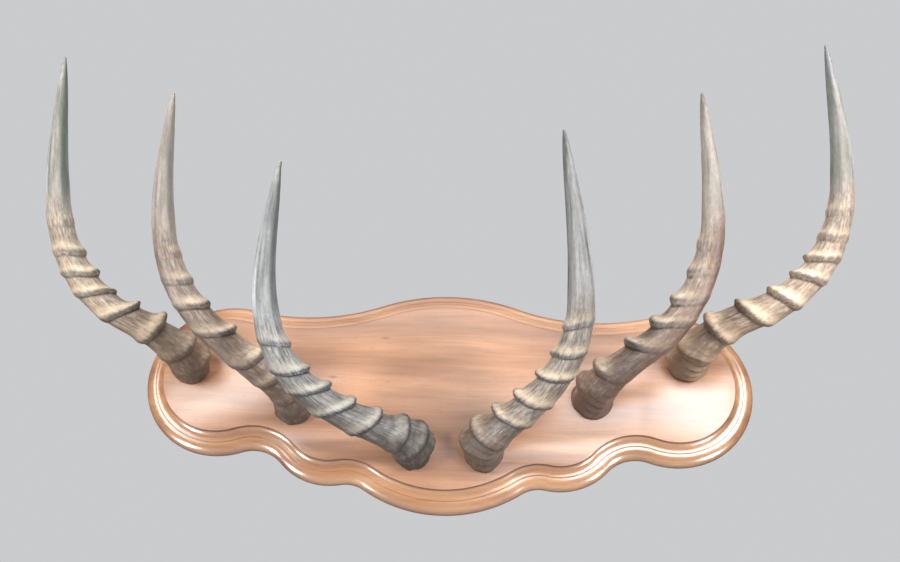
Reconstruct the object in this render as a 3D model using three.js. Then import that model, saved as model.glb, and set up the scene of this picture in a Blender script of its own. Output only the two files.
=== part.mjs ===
// Six impala horns on a shaped wall board.
// Millimetres. X runs along the board, +Z is up the wall, the flat back of the board lies in the
// plane y = 0 and the horns stand out towards -Y. The origin is the middle of the board's back.
import * as THREE from 'three';

// ---- driving dimensions -------------------------------------------------------------------

const boardThickness = 24;
const mouldingWidth = 25.5;
const seatGap = 0.3;            // between a horn's cut base and the board it stands on
const seatLevel = -boardThickness - seatGap;
const arcStep = 17;             // longest step along the board's outline

// The board's face, inside its moulding, is a chain of lobes joined by hollows, mirrored in X.
const bottomLobe = { x: 0, z: 31, radius: 148.5 };
const smallLobe = { x: 138, z: -29, radius: 56.5 };
const endLobe = { x: 280, z: 22, radius: 74.5 };
const topLobe = { x: 0, z: -104, radius: 223.5 };
const bottomHollow = 63.5;      // radii of the hollows between them
const sideHollow = 72.5;
const topHollow = 313.5;

// The moulding from the back edge to the face: [distance outside the face line, height]. A round
// comes up from the back, and above a small step a cove runs up to the face's sharp edge.
const mouldingProfile = [
  [mouldingWidth - 1.6, 0],
  [mouldingWidth, 1.6],
  [mouldingWidth, 4],
  [mouldingWidth - 1.8, 9.5],
  [mouldingWidth - 6.6, 13.4],
  [12.2, 14.9],
  [11.6, 15.9],
  [6, 16.8],
  [2, 19.3],
  [0.5, 22.7],
  [0, boardThickness],
];

// Each horn: where its base sits on the board, its length, its radius at the base and near the
// tip, and its heading at the stations below. climb is the angle in the plane of the wall, 0
// sideways away from the middle and 90 straight up; out is the angle off that plane, 90 straight
// off the board. Each ring is a ridge: [distance from the base, height, degrees that it leans
// towards the base on the hollow side of the bend]. neck is the share by which the foot is drawn
// in, heel how far the crowded first ridges bulge, and rise the length of a ridge's steep side.
// fade says how early the ridges fade towards the outer side, where outer is the share of their
// height that is left.
const headingStations = [0, 0.1, 0.25, 0.4, 0.55, 0.75, 1];
const horns = [
  {
    name: 'horn_inner_left', side: -1, base: [36, -75], length: 435, radius: 23.5, tip: 2.5,
    neck: 0.12, heel: 6, rise: 4.2, fade: 1.2, outer: 0.35,
    climb: [54, 12, 12, 31, 66, 97, 102], out: [84, 48, 39, 41, 35, 35, 33],
    rings: [[10, 5, -8], [25, 5, -8], [47, 4.5, -3], [92, 5.5, 28], [134, 5.5, 40], [172, 6, 40],
      [202, 4.8, 32], [237, 3.2, 25]],
  },
  {
    name: 'horn_middle_left', side: -1, base: [184.5, -19.5], length: 435, radius: 23, tip: 1.5,
    neck: -0.03, heel: 2, rise: 5.6, fade: 1.7, outer: 0.2,
    climb: [91, 28, 27, 41, 69, 95, 100], out: [85, 57, 44, 41, 37, 36, 30],
    rings: [[14, 3.5, 0], [36, 5, 5], [68, 6, 15], [103, 6.5, 24], [154, 5.5, 40], [194, 5, 28],
      [226, 2.8, 18], [257, 1, 10]],
  },
  {
    name: 'horn_outer_left', side: -1, base: [320.5, 30.5], length: 445, radius: 23, tip: 1.3,
    neck: 0.02, heel: 2, rise: 6, fade: 1.3, outer: 0.3,
    climb: [46, 29, 19, 49, 77, 94, 96], out: [90, 57, 31, 31, 32, 32, 31],
    rings: [[14, 5, 1], [43, 8, 11], [83, 8.5, 14], [124, 6.5, 34], [162, 5.5, 37], [190, 4.8, 30],
      [217, 3.2, 20], [253, 0.8, 6]],
  },
  {
    name: 'horn_inner_right', side: 1, base: [48, -71.5], length: 430, radius: 23.5, tip: 1.3,
    neck: 0.02, heel: 6, rise: 4.2, fade: 1.3, outer: 0.3,
    climb: [74, 29, 32, 54, 87, 100, 101], out: [81, 50, 42, 48, 42, 36, 32],
    rings: [[17, 4.5, 5], [38, 5.5, 9], [77, 7, 32], [111, 7, 30], [153, 5, 33], [186, 4, 31],
      [221, 2.6, 22]],
  },
  {
    name: 'horn_middle_right', side: 1, base: [179, -1], length: 420, radius: 23.5, tip: 1.3,
    neck: -0.05, heel: 0, rise: 8, fade: 2.4, outer: 0.1,
    climb: [44, 32, 26, 49, 74, 98, 101], out: [81, 54, 42, 40, 37, 35, 32],
    rings: [[22, 7, 0], [61, 8, 26], [116, 7.5, 44], [156, 7.5, 41], [189, 6.5, 30], [225, 3.5, 22],
      [254, 1.6, 9]],
  },
  {
    name: 'horn_outer_right', side: 1, base: [296, 50], length: 465, radius: 23.6, tip: 1.3,
    neck: 0, heel: 2, rise: 6, fade: 1, outer: 0.35,
    climb: [28, 30, 13, 42, 75, 100, 104], out: [84, 56, 30, 28, 33, 33, 31],
    rings: [[12, 3.5, 5], [36, 6.5, 14], [76, 8.5, 12], [119, 8, 31], [157, 6.5, 24], [192, 4.8, 27],
      [220, 4.5, 25], [247, 2.4, 14], [277, 1.2, 9]],
  },
];
const sidesAround = 16;
const neckLength = 10;
const heelStart = 3;
const heelGrowth = 9;
const heelLength = 45;
const extraFade = 2;            // the crowded first ridges fade this much sooner than the others
const crestWidth = 1.6;         // length of a ridge's level top
const lastSpacing = 34;
// A point on a ridge's steep side and one behind its crest: along as a share of the rise and of the
// spacing, and up as a share of the height. Where ridges are close, the second keeps to roomShare.
const steepPoint = { along: 0.4, up: 0.84 };
const fallingPoint = { along: 0.24, up: 0.34, roomShare: 0.6 };
const saddleDepth = 2;          // how far the hollow side dips between the ridges
const saddleStart = 50;
const saddleGrowth = 25;
const leanEnd = 0.8;            // share of the length from where rows no longer lean
const fadingLength = 45;        // the horn is smooth this far past its last ridge
const smoothRows = 6;           // rows from the last ridge to the tip

// Horn radius as a share of its base radius, by the share of the length.
const taper = [[0, 1], [0.05, 0.92], [0.14, 0.82], [0.35, 0.74], [0.5, 0.69], [0.6, 0.62],
  [0.7, 0.525], [0.8, 0.41], [0.9, 0.275], [0.96, 0.165], [1, 0.055]];

// ---- colours -------------------------------------------------------------------------------

const hornMaterial = new THREE.MeshStandardMaterial({ color: 0x8d8478, roughness: 0.55, metalness: 0 });
const boardMaterial = new THREE.MeshStandardMaterial({ color: 0xb97f52, roughness: 0.35, metalness: 0 });

// ---- helpers -------------------------------------------------------------------------------

// The value at x of a smooth curve through the knots (xs[i], ys[i]).
function smoothAt(xs, ys, x) {
  const last = xs.length - 1;
  const slope = (i) => {
    const before = Math.max(i - 1, 0);
    const after = Math.min(i + 1, last);
    return (ys[after] - ys[before]) / (xs[after] - xs[before]);
  };
  let i = 0;
  while (i < last - 1 && x > xs[i + 1]) i += 1;
  const width = xs[i + 1] - xs[i];
  const u = (x - xs[i]) / width;
  return (2 * u ** 3 - 3 * u ** 2 + 1) * ys[i] + (u ** 3 - 2 * u ** 2 + u) * width * slope(i)
    + (3 * u ** 2 - 2 * u ** 3) * ys[i + 1] + (u ** 3 - u ** 2) * width * slope(i + 1);
}

const knotsAt = (knots, x) => smoothAt(knots.map((k) => k[0]), knots.map((k) => k[1]), x);

// 0 below 0, 1 above 1, smooth between.
const ease = (x) => THREE.MathUtils.smoothstep(x, 0, 1);

// A closed solid from rows of points, each row a loop of the same count that turns anticlockwise
// seen from the far end of the stack. The first row is closed flat, and the last one too unless
// the solid runs out to a tip.
function solidFromRows(rows, tip = null) {
  const count = rows[0].length;
  const points = rows.flat();
  const lastStart = points.length - count;
  const faces = [];
  for (let row = 0; row < rows.length - 1; row += 1) {
    for (let i = 0; i < count; i += 1) {
      const a = row * count + i;
      const b = row * count + (i + 1) % count;
      faces.push(a, b, b + count, a, b + count, a + count);
    }
  }
  flatCap(rows[0]).forEach(([a, b, c]) => faces.push(a, c, b));
  if (tip) {
    points.push(tip);
    const end = points.length - 1;
    for (let i = 0; i < count; i += 1) faces.push(end, lastStart + i, lastStart + (i + 1) % count);
  } else {
    flatCap(rows.at(-1)).forEach(([a, b, c]) => faces.push(lastStart + a, lastStart + b, lastStart + c));
  }
  const geometry = new THREE.BufferGeometry();
  geometry.setAttribute('position', new THREE.Float32BufferAttribute(points.flatMap((p) => p.toArray()), 3));
  geometry.setIndex(faces);
  geometry.computeVertexNormals();
  return geometry;
}

// Triangles that fill a loop lying in a plane parallel to the wall.
function flatCap(loop) {
  return THREE.ShapeUtils.triangulateShape(loop.map((p) => new THREE.Vector2(p.x, p.z)), []);
}

// ---- the board -----------------------------------------------------------------------------

// The hollow of the given radius that touches both lobes, on the right of the way between them.
function hollowBetween(from, to, radius) {
  const reachFrom = from.radius + radius;
  const reachTo = to.radius + radius;
  const span = Math.hypot(to.x - from.x, to.z - from.z);
  const along = (span ** 2 + reachFrom ** 2 - reachTo ** 2) / (2 * span);
  const aside = Math.sqrt(reachFrom ** 2 - along ** 2);
  const ux = (to.x - from.x) / span;
  const uz = (to.z - from.z) / span;
  return { x: from.x + ux * along + uz * aside, z: from.z + uz * along - ux * aside, radius: -radius };
}

// Points of the right half of the outline, bottom to top, grown outwards by the offset.
function halfOutline(offset) {
  const lobes = [bottomLobe, smallLobe, endLobe, topLobe];
  const hollows = [bottomHollow, sideHollow, topHollow];
  const chain = [lobes[0]];
  hollows.forEach((radius, i) => chain.push(hollowBetween(lobes[i], lobes[i + 1], radius), lobes[i + 1]));
  const joints = [-Math.PI / 2];
  for (let i = 0; i < chain.length - 1; i += 1) {
    const [lobe, hollow] = chain[i].radius > 0 ? [chain[i], chain[i + 1]] : [chain[i + 1], chain[i]];
    joints.push(Math.atan2(hollow.z - lobe.z, hollow.x - lobe.x));
  }
  joints.push(Math.PI / 2);
  const points = [];
  chain.forEach((arc, i) => {
    const sweep = joints[i + 1] - joints[i];
    const steps = Math.max(2, Math.ceil(Math.abs(arc.radius * sweep) / arcStep));
    for (let k = 0; k < steps; k += 1) {
      const angle = joints[i] + sweep * k / steps;
      const reach = arc.radius + offset;
      points.push([arc.x + reach * Math.cos(angle), arc.z + reach * Math.sin(angle)]);
    }
  });
  points.push([0, topLobe.z + topLobe.radius + offset]);
  return points;
}

function boardGeometry() {
  const rows = mouldingProfile.map(([offset, height]) => {
    const right = halfOutline(offset);
    const left = right.slice(1, -1).reverse().map(([x, z]) => [-x, z]);
    return [...right, ...left].map(([x, z]) => new THREE.Vector3(x, -height, z));
  });
  return solidFromRows(rows);
}

// ---- a horn --------------------------------------------------------------------------------

// Places along the horn's middle line, one a millimetre, each with the horn's own three
// directions there: along it, towards the hollow side of the bend, and across.
function hornPath(horn) {
  const place = new THREE.Vector3(horn.side * horn.base[0], seatLevel, horn.base[1]);
  const hollowSide = new THREE.Vector3(-0.8 * horn.side, 0, 0.6);
  const path = [];
  for (let s = 0; s <= horn.length; s += 1) {
    const share = s / horn.length;
    const climb = THREE.MathUtils.degToRad(smoothAt(headingStations, horn.climb, share));
    const out = THREE.MathUtils.degToRad(smoothAt(headingStations, horn.out, share));
    const along = new THREE.Vector3(
      horn.side * Math.cos(out) * Math.cos(climb), -Math.sin(out), Math.cos(out) * Math.sin(climb));
    const hollow = hollowSide.clone().addScaledVector(along, -hollowSide.dot(along)).normalize();
    const across = new THREE.Vector3().crossVectors(along, hollow);
    path.push({ place: place.clone(), along, hollow, across });
    place.add(along);
  }
  return path;
}

// Rows along the horn: [distance from the base, ridge height on the hollow side]. Each ridge has
// the foot of its steep side, its rounded top and the start of the saddle behind it.
function hornStations(horn) {
  const stations = [[0, 0]];
  horn.rings.forEach(([ring, height], i) => {
    const next = horn.rings[i + 1];
    const spacing = next ? next[0] - ring : lastSpacing;
    const room = next ? spacing - horn.rise - crestWidth : spacing;
    const fallingAlong = Math.min(fallingPoint.along * spacing, fallingPoint.roomShare * room);
    stations.push([ring - horn.rise, 0]);
    stations.push([ring - steepPoint.along * horn.rise, steepPoint.up * height]);
    stations.push([ring + crestWidth, height]);
    stations.push([ring + crestWidth + fallingAlong, fallingPoint.up * height]);
  });
  const start = stations.at(-1)[0];
  for (let k = 1; k <= smoothRows; k += 1) {
    stations.push([start + (horn.length - horn.tip - start) * k / smoothRows, 0]);
  }
  return stations;
}

function hornGeometry(horn) {
  const path = hornPath(horn);
  const lastRing = horn.rings.at(-1)[0];
  const leans = [[0, horn.rings[0][2]], ...horn.rings.map(([ring, , lean]) => [ring, lean]),
    [leanEnd * horn.length, 0], [horn.length, 0]];
  const rows = hornStations(horn).map(([distance, ridge]) => {
    const at = path[Math.round(distance)];
    const lean = Math.tan(THREE.MathUtils.degToRad(knotsAt(leans, distance)));
    const neck = 1 - horn.neck * Math.exp(-((distance / neckLength) ** 2));
    const core = Math.max(horn.radius * knotsAt(taper, distance / horn.length) * neck, horn.tip);
    const ribbed = 1 - ease((distance - lastRing) / fadingLength);
    const saddle = saddleDepth * ribbed * ease((distance - saddleStart) / saddleGrowth);
    const heelEnd = Math.exp(-((distance / heelLength) ** 4));
    const heel = horn.heel * heelEnd * ease((distance - heelStart) / heelGrowth);
    const fade = horn.fade + extraFade * Math.exp(-((distance / heelLength) ** 2));
    const leftOver = horn.outer * ease(distance / heelLength);
    const row = [];
    for (let i = 0; i < sidesAround; i += 1) {
      const angle = 2 * Math.PI * i / sidesAround;
      const toHollow = Math.cos(angle);
      const hollowShare = ((1 + toHollow) / 2) ** fade;
      const reach = core + ridge * (leftOver + (1 - leftOver) * hollowShare) + (heel - saddle) * hollowShare;
      const point = at.place.clone()
        .addScaledVector(at.hollow, reach * toHollow)
        .addScaledVector(at.across, reach * Math.sin(angle))
        .addScaledVector(at.along, -lean * core * toHollow);
      point.y = distance === 0 ? at.place.y : Math.min(point.y, seatLevel - 1);
      row.push(point);
    }
    return row;
  });
  return solidFromRows(rows, path.at(-1).place);
}

// ---- the plaque ----------------------------------------------------------------------------

const plaque = new THREE.Group();

const board = new THREE.Mesh(boardGeometry(), boardMaterial);
board.name = 'board';
plaque.add(board);

horns.forEach((horn) => {
  const mesh = new THREE.Mesh(hornGeometry(horn), hornMaterial);
  mesh.name = horn.name;
  plaque.add(mesh);
});

export default plaque;
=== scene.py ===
import math

import bpy
import numpy as np
from mathutils import Matrix, Vector


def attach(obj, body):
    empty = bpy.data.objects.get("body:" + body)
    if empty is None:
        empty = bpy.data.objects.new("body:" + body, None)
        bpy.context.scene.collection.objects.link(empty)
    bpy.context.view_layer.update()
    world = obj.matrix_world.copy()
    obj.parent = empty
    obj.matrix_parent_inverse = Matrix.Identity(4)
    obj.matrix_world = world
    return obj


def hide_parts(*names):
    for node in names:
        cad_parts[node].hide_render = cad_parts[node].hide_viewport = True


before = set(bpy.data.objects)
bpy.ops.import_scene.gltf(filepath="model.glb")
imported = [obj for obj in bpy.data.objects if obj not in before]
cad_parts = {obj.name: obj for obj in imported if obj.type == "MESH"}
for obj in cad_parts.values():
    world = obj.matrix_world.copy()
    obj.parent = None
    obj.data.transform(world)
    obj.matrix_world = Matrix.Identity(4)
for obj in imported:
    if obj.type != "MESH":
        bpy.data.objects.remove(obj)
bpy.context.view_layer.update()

MM = 0.001


# ---- camera --------------------------------------------------------------------------------
# It stands below the board and looks up at it, a little from the right, slightly rolled.

CAMERA_TARGET = Vector((0.0, -0.024, 0.1594))
CAMERA_DISTANCE = 1.2436
CAMERA_CLIMB = math.radians(28.0)
CAMERA_TURN = math.radians(2.74)
CAMERA_ROLL = math.radians(2.36)
CAMERA_LENS = 38.0


def add_camera():
    forward = Vector((
        -math.cos(CAMERA_CLIMB) * math.sin(CAMERA_TURN),
        math.cos(CAMERA_CLIMB) * math.cos(CAMERA_TURN),
        math.sin(CAMERA_CLIMB)))
    level = Vector((math.cos(CAMERA_TURN), math.sin(CAMERA_TURN), 0.0))
    upright = level.cross(forward)
    right = level * math.cos(CAMERA_ROLL) + upright * math.sin(CAMERA_ROLL)
    up = upright * math.cos(CAMERA_ROLL) - level * math.sin(CAMERA_ROLL)
    data = bpy.data.cameras.new("camera")
    data.lens = CAMERA_LENS
    data.sensor_width = 36.0
    data.clip_start = 0.01
    camera = bpy.data.objects.new("camera", data)
    turn = Matrix((right, up, -forward)).transposed()
    camera.matrix_world = Matrix.Translation(CAMERA_TARGET - forward * CAMERA_DISTANCE) @ turn.to_4x4()
    bpy.context.scene.collection.objects.link(camera)
    bpy.context.scene.camera = camera


add_camera()


# ---- curves and noise ----------------------------------------------------------------------

def smooth_at(knots, x):
    """Values at x of a smooth curve through the knots (place, value)."""
    places = np.array([knot[0] for knot in knots], float)
    values = np.array([knot[1] for knot in knots], float)
    last = len(places) - 1
    before = np.maximum(np.arange(last + 1) - 1, 0)
    after = np.minimum(np.arange(last + 1) + 1, last)
    slopes = (values[after] - values[before]) / (places[after] - places[before])
    x = np.asarray(x, float)
    i = np.searchsorted(places[1:-1], x, side="left")
    width = places[i + 1] - places[i]
    u = (x - places[i]) / width
    return ((2 * u ** 3 - 3 * u ** 2 + 1) * values[i] + (u ** 3 - 2 * u ** 2 + u) * width * slopes[i]
            + (3 * u ** 2 - 2 * u ** 3) * values[i + 1] + (u ** 3 - u ** 2) * width * slopes[i + 1])


def ease(x):
    """0 below 0, 1 above 1, smooth between."""
    x = np.clip(x, 0.0, 1.0)
    return x * x * (3 - 2 * x)


def ring_noise(draw, around, cells_around, along, cells_along):
    """Smooth noise from -1 to 1. around goes once round from 0 to 1, along from 0 to 1."""
    table = draw.uniform(-1, 1, (cells_along + 2, cells_around))
    u = np.asarray(around) * cells_around
    v = np.asarray(along) * cells_along
    column = np.floor(u).astype(int)
    row = np.floor(v).astype(int)
    fu = ease(u - column)
    fv = ease(v - row)
    left = column % cells_around
    right = (column + 1) % cells_around
    low = table[row, left] * (1 - fu) + table[row, right] * fu
    high = table[row + 1, left] * (1 - fu) + table[row + 1, right] * fu
    return low * (1 - fv) + high * fv


# ---- skins wrapped from a grid -------------------------------------------------------------

def wrapped_skin(name, points, values=None):
    """A skin from rows of points, each row a loop of the same count, its seam welded.

    values holds one array for each named value that the finish reads at the points."""
    rows, count = points.shape[:2]
    bpy.ops.object.select_all(action="DESELECT")
    bpy.ops.mesh.primitive_grid_add(x_subdivisions=count, y_subdivisions=rows - 1, size=2.0)
    piece = bpy.context.active_object
    piece.name = name
    piece.data.name = name
    mesh = piece.data
    flat = np.zeros(len(mesh.vertices) * 3, np.float32)
    mesh.vertices.foreach_get("co", flat)
    flat = flat.reshape(-1, 3)
    column = np.rint((flat[:, 0] + 1) / 2 * count).astype(int) % count
    row = np.rint((flat[:, 1] + 1) / 2 * (rows - 1)).astype(int)
    mesh.vertices.foreach_set("co", points[row, column].astype(np.float32).ravel())
    for label, value in (values or {}).items():
        kind, field = ("FLOAT_VECTOR", "vector") if value.ndim == 3 else ("FLOAT", "value")
        layer = mesh.attributes.new(label, kind, "POINT")
        layer.data.foreach_set(field, value[row, column].astype(np.float32).ravel())
    mesh.update()
    bpy.ops.object.mode_set(mode="EDIT")
    bpy.ops.mesh.select_all(action="SELECT")
    bpy.ops.mesh.remove_doubles(threshold=1e-7)
    bpy.ops.object.mode_set(mode="OBJECT")
    return piece


def close_ends(piece, levels):
    """Fills the open loops that lie at these levels of Y, and turns all faces outwards."""
    for level in levels:
        bpy.ops.object.mode_set(mode="EDIT")
        bpy.ops.mesh.select_mode(type="VERT")
        bpy.ops.mesh.select_all(action="DESELECT")
        bpy.ops.object.mode_set(mode="OBJECT")
        for vertex in piece.data.vertices:
            vertex.select = abs(vertex.co.y - level) < 1e-6
        bpy.ops.object.mode_set(mode="EDIT")
        bpy.ops.mesh.edge_face_add()
        bpy.ops.object.mode_set(mode="OBJECT")
    bpy.ops.object.mode_set(mode="EDIT")
    bpy.ops.mesh.select_all(action="SELECT")
    bpy.ops.mesh.normals_make_consistent(inside=False)
    bpy.ops.object.mode_set(mode="OBJECT")


# ---- the board -----------------------------------------------------------------------------

BOARD_THICKNESS = 24 * MM
MOULDING_WIDTH = 25.5 * MM
BOTTOM_LOBE = (0.0, 31 * MM, 148.5 * MM)
SMALL_LOBE = (138 * MM, -29 * MM, 56.5 * MM)
END_LOBE = (280 * MM, 22 * MM, 74.5 * MM)
TOP_LOBE = (0.0, -104 * MM, 223.5 * MM)
HOLLOW_RADII = (63.5 * MM, 72.5 * MM, 313.5 * MM)
OUTLINE_STEP = 2.5 * MM
QUARTER_TURN = np.radians(np.arange(90, -1, -7.5))

# The moulding's parts, in millimetres outside the face line or off the wall.
ROUND_INNER = 12.2
ROUND_START = 4.0
ROUND_HEIGHT = 10.9
STEP = ((12.02, 15.1), (12.0, 15.65))
COVE_OUTER = 11.6
COVE_WIDTH = 11.1
COVE_END = 22.7
COVE_HEIGHT = 6.8
SMOOTH_BELOW = math.radians(35)     # edges flatter than this are shaded smooth


def hollow_between(start, end, radius):
    """The hollow that touches both lobes, on the right of the way between them."""
    reach_start = start[2] + radius
    reach_end = end[2] + radius
    span = math.hypot(end[0] - start[0], end[1] - start[1])
    along = (span ** 2 + reach_start ** 2 - reach_end ** 2) / (2 * span)
    aside = math.sqrt(reach_start ** 2 - along ** 2)
    ux = (end[0] - start[0]) / span
    uz = (end[1] - start[1]) / span
    return (start[0] + ux * along + uz * aside, start[1] + uz * along - ux * aside, -radius)


def board_outline(offset):
    """Points of the face's outline grown by the offset, from the bottom up the right side and round."""
    lobes = [BOTTOM_LOBE, SMALL_LOBE, END_LOBE, TOP_LOBE]
    chain = [lobes[0]]
    for i, radius in enumerate(HOLLOW_RADII):
        chain += [hollow_between(lobes[i], lobes[i + 1], radius), lobes[i + 1]]
    joints = [-math.pi / 2]
    for first, second in zip(chain, chain[1:]):
        lobe, hollow = (first, second) if first[2] > 0 else (second, first)
        joints.append(math.atan2(hollow[1] - lobe[1], hollow[0] - lobe[0]))
    joints.append(math.pi / 2)
    right = []
    for (x, z, radius), start, end in zip(chain, joints, joints[1:]):
        reach = radius + offset
        steps = max(4, math.ceil(abs(radius * (end - start)) / OUTLINE_STEP))
        angles = start + (end - start) * np.arange(steps) / steps
        right += [(x + reach * math.cos(angle), z + reach * math.sin(angle)) for angle in angles]
    right.append((0.0, TOP_LOBE[1] + TOP_LOBE[2] + offset))
    left = [(-x, z) for x, z in right[-2:0:-1]]
    return np.array(right + left)


def moulding_profile():
    """The routed edge from the back to the face: (distance outside the face line, height), in mm.

    A round comes up from the back, and above a small step a cove runs up to the face's sharp edge."""
    width = MOULDING_WIDTH / MM
    top = BOARD_THICKNESS / MM
    profile = [(width - 1.6, 0.0), (width - 0.5, 0.5), (width, 1.7)]
    for turn in QUARTER_TURN:
        outside = ROUND_INNER + (width - ROUND_INNER) * math.sin(turn)
        profile.append((outside, ROUND_START + ROUND_HEIGHT * math.cos(turn)))
    profile += STEP
    for turn in QUARTER_TURN:
        outside = COVE_OUTER - COVE_WIDTH * math.cos(turn)
        profile.append((outside, COVE_END - COVE_HEIGHT * math.sin(turn)))
    profile += [(0.42, top - 0.55), (0.3, top - 0.15), (0.0, top)]
    return profile


def make_board():
    rows = []
    for offset, height in moulding_profile():
        outline = board_outline(offset * MM)
        level = np.full(len(outline), -height * MM)
        rows.append(np.column_stack([outline[:, 0], level, outline[:, 1]]))
    board = wrapped_skin("wall_board", np.array(rows))
    close_ends(board, (0.0, -BOARD_THICKNESS))
    bpy.ops.object.shade_smooth_by_angle(angle=SMOOTH_BELOW)
    return board


# ---- the horns -----------------------------------------------------------------------------

SEAT_GAP = 0.3          # between the board's face and each horn, in millimetres
SEAT_LEVEL = -(BOARD_THICKNESS / MM + SEAT_GAP)
HEADING_STATIONS = (0, 0.1, 0.25, 0.4, 0.55, 0.75, 1)
TAPER = ((0, 1), (0.05, 0.92), (0.14, 0.82), (0.35, 0.74), (0.5, 0.69), (0.6, 0.62),
         (0.7, 0.525), (0.8, 0.41), (0.9, 0.275), (0.96, 0.165), (1, 0.055))

# Lengths along and across a horn, in millimetres, unless the note says otherwise.
SADDLE_DEPTH = 2.0      # how far the hollow side dips between the ridges
SADDLE_START = 50
SADDLE_GROWTH = 25
NECK_LENGTH = 10
HEEL_START = 3
HEEL_GROWTH = 9
HEEL_LENGTH = 45
EXTRA_FADE = 2.0        # added to the fade of the crowded first ridges, no length
LAST_SPACING = 34
FADING_START = 5        # the horn grows smooth from here past its last ridge
FADING_LENGTH = 45
LEAN_END = 0.8          # share of the length from where rows no longer lean
SIDES_AROUND = 132      # a count
CREST_WIDTH = 1.0       # length of a ridge's level top
LIP = 8.0               # length of its rounded crest
LAYER_LENGTH = 9.0      # of the broken layers at the base
TORN_LENGTH = 38        # how far up they reach
FOOT_LENGTH = 3.5
PATTERN_JUMP = 40.0     # the colour pattern starts afresh on each ridge, this much farther along
MARKED_HEIGHT = 5       # a ridge this high has its masks in full
FOOT_SPACING = 0.9      # between rows below the first ridge
VALLEY_SPACING = 1.15   # about that between rows from a ridge's crest to the next ridge
SMOOTH_SPACING = 1.7    # about that between rows past the last ridge
TIP_ZONE = 8            # before the end, where rows are closer

# Each horn, in millimetres and degrees: which side it is on, where its base stands, its length, its
# radius at the base and near the tip, and its heading by HEADING_STATIONS. climb is the angle in
# the plane of the wall, 0 sideways away from the middle and 90 straight up; out is the angle off
# that plane. Each ridge has its distance from the base, its height, and how far it leans towards the
# base on the hollow side. neck is the share by which the foot is drawn in, heel how far the crowded
# first ridges bulge, torn how deep the layers are broken on the outer side of the base, and rise the
# length of a ridge's steep side. fade says how early the ridges fade towards the outer side, where
# outer is the share of their height that is left, and rough how worn the ridged half is, 0 to 1.
HORNS = {
    "inner_left": dict(
        side=-1, base=(36, -75), length=435, radius=23.5, tip=2.5,
        neck=0.12, heel=6, torn=0.6, rise=4.2, fade=1.2, outer=0.35, rough=0.45,
        climb=(54, 12, 12, 31, 66, 97, 102), out=(84, 48, 39, 41, 35, 35, 33),
        rings=((10, 5, -8), (25, 5, -8), (47, 4.5, -3), (92, 5.5, 28), (134, 5.5, 40), (172, 6, 40),
               (202, 4.8, 32), (237, 3.2, 25))),
    "middle_left": dict(
        side=-1, base=(184.5, -19.5), length=435, radius=23, tip=1.5,
        neck=-0.03, heel=2, torn=0.8, rise=5.6, fade=1.7, outer=0.2, rough=0.35,
        climb=(91, 28, 27, 41, 69, 95, 100), out=(85, 57, 44, 41, 37, 36, 30),
        rings=((14, 3.5, 0), (36, 5, 5), (68, 6, 15), (103, 6.5, 24), (154, 5.5, 40), (194, 5, 28),
               (226, 2.8, 18), (257, 1.0, 10))),
    "outer_left": dict(
        side=-1, base=(320.5, 30.5), length=445, radius=23, tip=1.3,
        neck=0.02, heel=2, torn=2.0, rise=6, fade=1.3, outer=0.3, rough=0.8,
        climb=(46, 29, 19, 49, 77, 94, 96), out=(90, 57, 31, 31, 32, 32, 31),
        rings=((14, 5, 1), (43, 8, 11), (83, 8.5, 14), (124, 6.5, 34), (162, 5.5, 37), (190, 4.8, 30),
               (217, 3.2, 20), (253, 0.8, 6))),
    "inner_right": dict(
        side=1, base=(48, -71.5), length=430, radius=23.5, tip=1.3,
        neck=0.02, heel=6, torn=2.4, rise=4.2, fade=1.3, outer=0.3, rough=0.6,
        climb=(74, 29, 32, 54, 87, 100, 101), out=(81, 50, 42, 48, 42, 36, 32),
        rings=((17, 4.5, 5), (38, 5.5, 9), (77, 7, 32), (111, 7, 30), (153, 5, 33), (186, 4, 31),
               (221, 2.6, 22))),
    "middle_right": dict(
        side=1, base=(179, -1), length=420, radius=23.5, tip=1.3,
        neck=-0.05, heel=0, torn=2.0, rise=8, fade=2.4, outer=0.1, rough=0.2,
        climb=(44, 32, 26, 49, 74, 98, 101), out=(81, 54, 42, 40, 37, 35, 32),
        rings=((22, 7, 0), (61, 8, 26), (116, 7.5, 44), (156, 7.5, 41), (189, 6.5, 30), (225, 3.5, 22),
               (254, 1.6, 9))),
    "outer_right": dict(
        side=1, base=(296, 50), length=465, radius=23.6, tip=1.3,
        neck=0.0, heel=2, torn=5.0, rise=6, fade=1.0, outer=0.35, rough=1.0,
        climb=(28, 30, 13, 42, 75, 100, 104), out=(84, 56, 30, 28, 33, 33, 31),
        rings=((12, 3.5, 5), (36, 6.5, 14), (76, 8.5, 12), (119, 8, 31), (157, 6.5, 24), (192, 4.8, 27),
               (220, 4.5, 25), (247, 2.4, 14), (277, 1.2, 9))),
}


def horn_path(horn):
    """Places along the horn's middle line, one a millimetre, and its own directions there."""
    share = np.arange(horn["length"] + 1) / horn["length"]
    climb = np.radians(smooth_at(list(zip(HEADING_STATIONS, horn["climb"])), share))
    out = np.radians(smooth_at(list(zip(HEADING_STATIONS, horn["out"])), share))
    side = horn["side"]
    along = np.column_stack([
        side * np.cos(out) * np.cos(climb), -np.sin(out), np.cos(out) * np.sin(climb)])
    start = np.array([side * horn["base"][0], SEAT_LEVEL, horn["base"][1]])
    place = start + np.vstack([np.zeros(3), np.cumsum(along[:-1], axis=0)])
    hollow_side = np.array([-0.8 * side, 0.0, 0.6])
    hollow = hollow_side - (along @ hollow_side)[:, None] * along
    hollow /= np.linalg.norm(hollow, axis=1)[:, None]
    across = np.cross(along, hollow)
    return place, along, hollow, across


def ring_spans(horn):
    """Each ridge: its distance from the base, the distance of the next one, and its height."""
    places = [ring[0] for ring in horn["rings"]]
    following = places[1:] + [places[-1] + LAST_SPACING]
    return [(ring[0], after, ring[1]) for ring, after in zip(horn["rings"], following)]


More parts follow.
